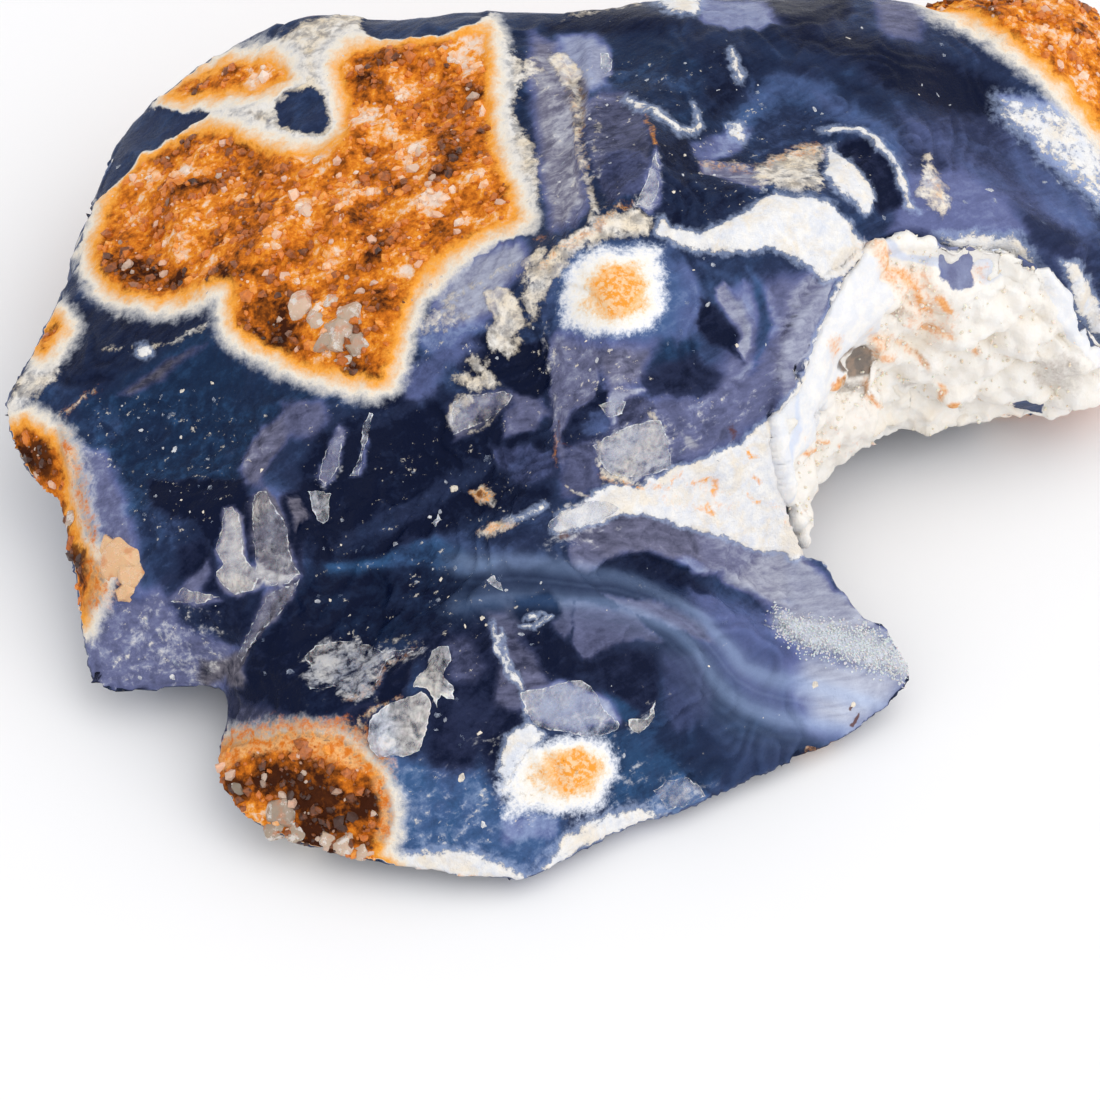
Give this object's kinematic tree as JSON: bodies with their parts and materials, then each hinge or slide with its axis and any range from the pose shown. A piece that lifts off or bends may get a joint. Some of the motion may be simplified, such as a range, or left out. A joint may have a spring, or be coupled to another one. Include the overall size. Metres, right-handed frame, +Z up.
{
  "type": "blue lace agate specimen",
  "caption": "Rough, broken piece of banded blue agate with patches of weathered orange rind and a front hollow lined with white crystals, lying on a flat base.",
  "frame": {"origin": "middle of the box's underside, on the surface that the stone lies on", "axes": "+X along the stone's length, +Y from its front to its back, +Z up"},
  "size_m": [0.1144, 0.0978, 0.0366],
  "materials": {
    "agate": "waxy translucent stone, broken faces banded in blue and lavender, with rough orange rind",
    "druse": "opaque white to cream crystal crust, lumpy, with orange stains"
  },
  "bodies": {
    "root": {"agate_stone": "agate", "hollow_crust": "druse"}
  },
  "joints": []
}
